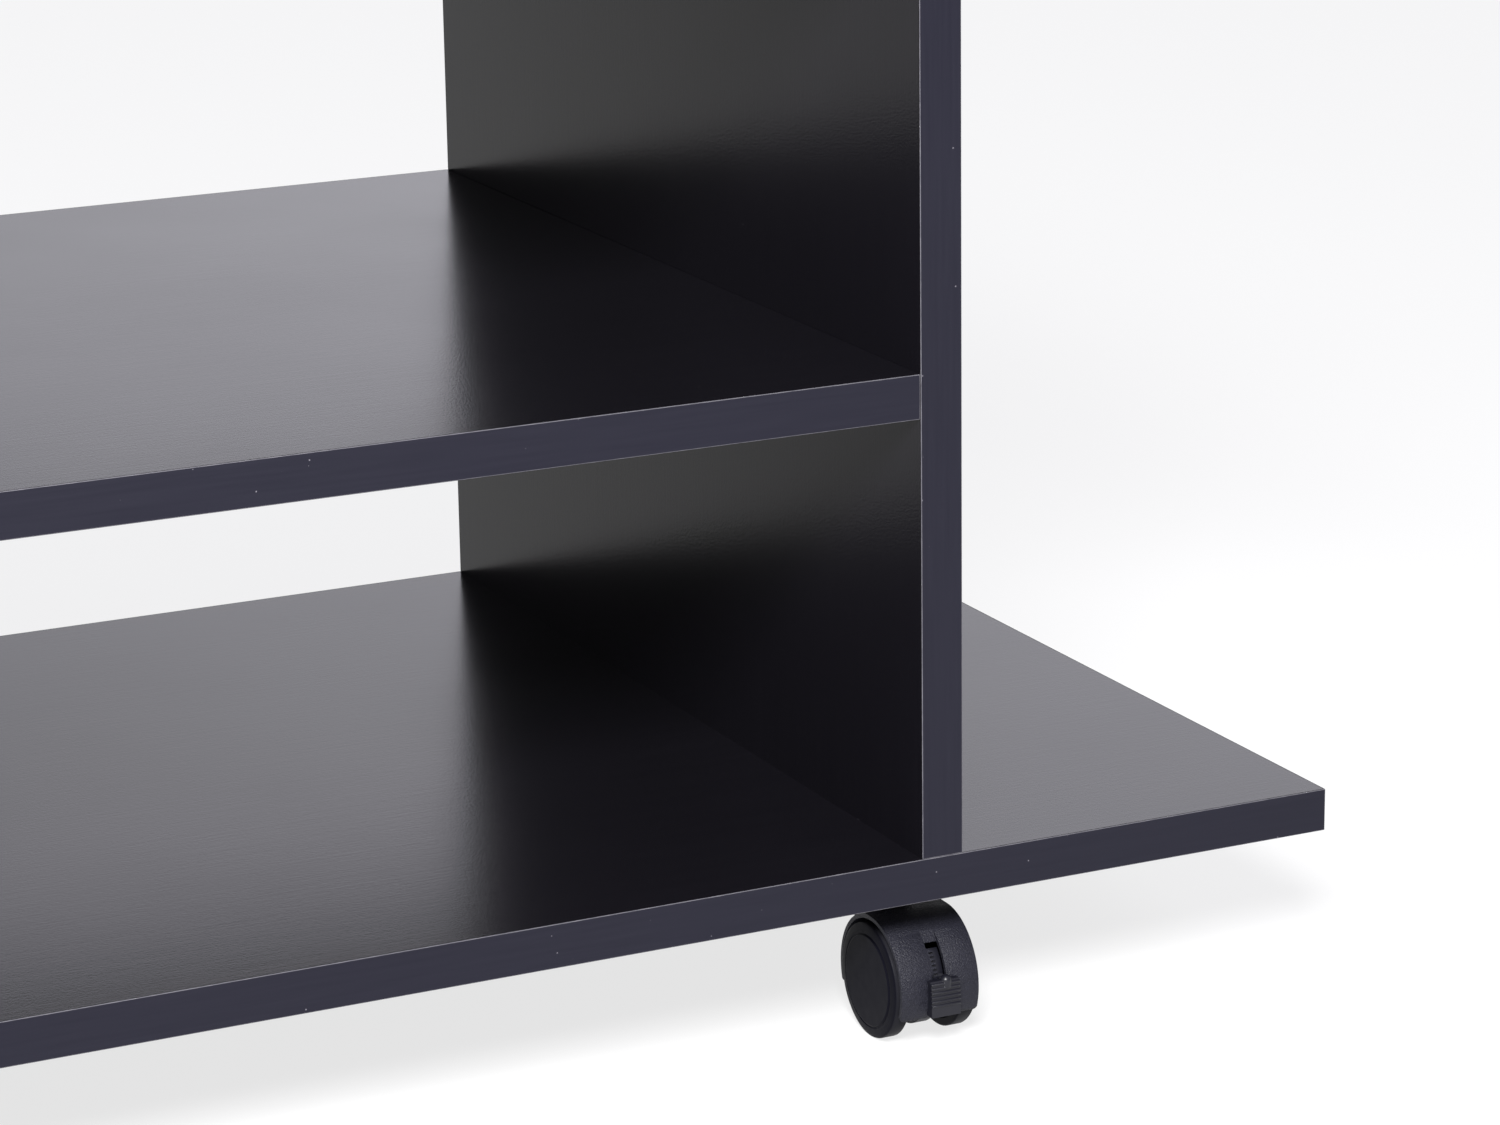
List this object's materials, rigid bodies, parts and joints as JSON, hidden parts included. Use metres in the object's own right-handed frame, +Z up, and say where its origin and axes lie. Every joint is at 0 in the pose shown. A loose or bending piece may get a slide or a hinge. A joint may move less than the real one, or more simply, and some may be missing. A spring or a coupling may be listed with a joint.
{
  "type": "printer stand",
  "caption": "Low black printer stand: base board, top board and middle shelf between two uprights, on hooded twin-wheel swivel casters, the front ones braked.",
  "frame": {"origin": "on the floor, under the middle of the stand", "axes": "+X along the width to the viewer's right, -Y to the front, +Z up"},
  "size_m": [0.8, 0.4, 0.4],
  "materials": {
    "board_laminate": "satin black melamine over particleboard",
    "edge_band": "satin blue-black edge banding",
    "textured_nylon": "fine pebbled black nylon",
    "wheel_plastic": "smooth semi-gloss black plastic",
    "lever_plastic": "smooth black nylon",
    "black_steel": "black lacquered pressed steel",
    "zinc_steel": "bright zinc plate",
    "yellow_zinc_steel": "yellow zinc plate",
    "zinc_casting": "dull zinc die casting",
    "dowel_wood": "raw beech"
  },
  "bodies": {
    "stand": {"base_panel": "board_laminate", "top_panel": "board_laminate", "left_upright": "board_laminate", "right_upright": "board_laminate", "middle_shelf": "board_laminate", "base_edge_bands": "edge_band", "top_edge_bands": "edge_band", "left_upright_edge_bands": "edge_band", "right_upright_edge_bands": "edge_band", "shelf_edge_bands": "edge_band", "base_joint_screws": "yellow_zinc_steel", "cam_bolts": "zinc_steel", "cam_locks": "zinc_casting", "joint_dowels": "dowel_wood", "caster_screws": "zinc_steel", "front_left_caster_plate": "black_steel", "front_left_kingpin": "zinc_steel", "front_right_caster_plate": "black_steel", "front_right_kingpin": "zinc_steel", "rear_left_caster_plate": "black_steel", "rear_left_kingpin": "zinc_steel", "rear_right_caster_plate": "black_steel", "rear_right_kingpin": "zinc_steel"},
    "front_left_caster": {"front_left_hood": "textured_nylon", "front_left_axle": "zinc_steel"},
    "front_left_left_wheel": {"front_left_left_wheel": "wheel_plastic"},
    "front_left_right_wheel": {"front_left_right_wheel": "wheel_plastic"},
    "front_left_brake_lever": {"front_left_brake_lever": "lever_plastic"},
    "front_right_caster": {"front_right_hood": "textured_nylon", "front_right_axle": "zinc_steel"},
    "front_right_left_wheel": {"front_right_left_wheel": "wheel_plastic"},
    "front_right_right_wheel": {"front_right_right_wheel": "wheel_plastic"},
    "front_right_brake_lever": {"front_right_brake_lever": "lever_plastic"},
    "rear_left_caster": {"rear_left_hood": "textured_nylon", "rear_left_axle": "zinc_steel"},
    "rear_left_left_wheel": {"rear_left_left_wheel": "wheel_plastic"},
    "rear_left_right_wheel": {"rear_left_right_wheel": "wheel_plastic"},
    "rear_right_caster": {"rear_right_hood": "textured_nylon", "rear_right_axle": "zinc_steel"},
    "rear_right_left_wheel": {"rear_right_left_wheel": "wheel_plastic"},
    "rear_right_right_wheel": {"rear_right_right_wheel": "wheel_plastic"}
  },
  "joints": [
    {"name": "front_left_swivel", "type": "hinge", "parent": "stand", "child": "front_left_caster", "pos_m": [-0.2515, -0.1567, 0.04], "axis": [0, 0, 1], "continuous": true},
    {"name": "front_left_left_wheel_spin", "type": "hinge", "parent": "front_left_caster", "child": "front_left_left_wheel", "pos_m": [-0.261, -0.1737, 0.02], "axis": [1, 0, 0], "continuous": true},
    {"name": "front_left_right_wheel_spin", "type": "hinge", "parent": "front_left_caster", "child": "front_left_right_wheel", "pos_m": [-0.242, -0.1737, 0.02], "axis": [1, 0, 0], "continuous": true},
    {"name": "front_left_brake", "type": "hinge", "parent": "front_left_caster", "child": "front_left_brake_lever", "pos_m": [-0.2515, -0.1737, 0.02], "axis": [-1, 0, 0], "range_deg": [0, 32]},
    {"name": "front_right_swivel", "type": "hinge", "parent": "stand", "child": "front_right_caster", "pos_m": [0.2515, -0.1567, 0.04], "axis": [0, 0, 1], "continuous": true},
    {"name": "front_right_left_wheel_spin", "type": "hinge", "parent": "front_right_caster", "child": "front_right_left_wheel", "pos_m": [0.242, -0.1737, 0.02], "axis": [1, 0, 0], "continuous": true},
    {"name": "front_right_right_wheel_spin", "type": "hinge", "parent": "front_right_caster", "child": "front_right_right_wheel", "pos_m": [0.261, -0.1737, 0.02], "axis": [1, 0, 0], "continuous": true},
    {"name": "front_right_brake", "type": "hinge", "parent": "front_right_caster", "child": "front_right_brake_lever", "pos_m": [0.2515, -0.1737, 0.02], "axis": [-1, 0, 0], "range_deg": [0, 32]},
    {"name": "rear_left_swivel", "type": "hinge", "parent": "stand", "child": "rear_left_caster", "pos_m": [-0.2515, 0.1567, 0.04], "axis": [0, 0, 1], "continuous": true},
    {"name": "rear_left_left_wheel_spin", "type": "hinge", "parent": "rear_left_caster", "child": "rear_left_left_wheel", "pos_m": [-0.261, 0.1737, 0.02], "axis": [1, 0, 0], "continuous": true},
    {"name": "rear_left_right_wheel_spin", "type": "hinge", "parent": "rear_left_caster", "child": "rear_left_right_wheel", "pos_m": [-0.242, 0.1737, 0.02], "axis": [1, 0, 0], "continuous": true},
    {"name": "rear_right_swivel", "type": "hinge", "parent": "stand", "child": "rear_right_caster", "pos_m": [0.2515, 0.1567, 0.04], "axis": [0, 0, 1], "continuous": true},
    {"name": "rear_right_left_wheel_spin", "type": "hinge", "parent": "rear_right_caster", "child": "rear_right_left_wheel", "pos_m": [0.242, 0.1737, 0.02], "axis": [1, 0, 0], "continuous": true},
    {"name": "rear_right_right_wheel_spin", "type": "hinge", "parent": "rear_right_caster", "child": "rear_right_right_wheel", "pos_m": [0.261, 0.1737, 0.02], "axis": [1, 0, 0], "continuous": true}
  ]
}
